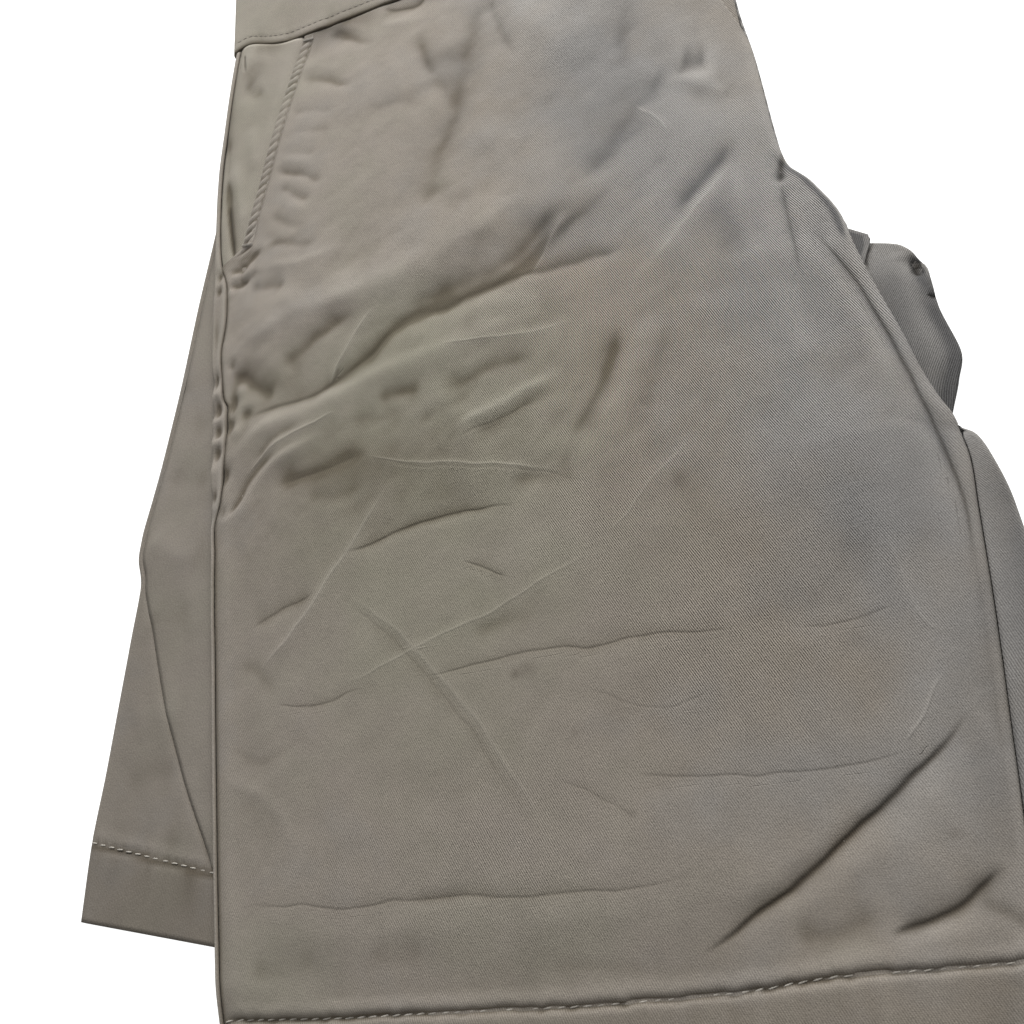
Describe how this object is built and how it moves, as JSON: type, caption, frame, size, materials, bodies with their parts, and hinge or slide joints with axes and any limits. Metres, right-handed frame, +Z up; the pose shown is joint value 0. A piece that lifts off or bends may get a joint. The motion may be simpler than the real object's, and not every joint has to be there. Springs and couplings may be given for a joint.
{
  "type": "chino shorts",
  "caption": "Washed cotton twill chino shorts, folded in half lengthwise and laid flat with a slant front pocket uppermost.",
  "frame": {"origin": "middle of the garment's outline, on the surface that it lies on", "axes": "+Z up from the surface, +Y from the hem to the waist, +X from the outseam to the inseam of the upper leg"},
  "size_m": [0.3337, 0.494, 0.0155],
  "materials": {
    "twill": "garment-washed cotton twill, taupe grey, dry and matt",
    "horn_button": "dark horn-look resin, satin"
  },
  "bodies": {
    "root": {"right_front": "twill", "right_back": "twill", "left_back": "twill", "left_front": "twill", "right_pocket_facing": "twill", "waistband_right": "twill", "waistband_left": "twill", "fly_shield": "twill", "right_front_belt_loop": "twill", "waistband_button": "horn_button", "hidden_layers": "twill"}
  },
  "joints": []
}
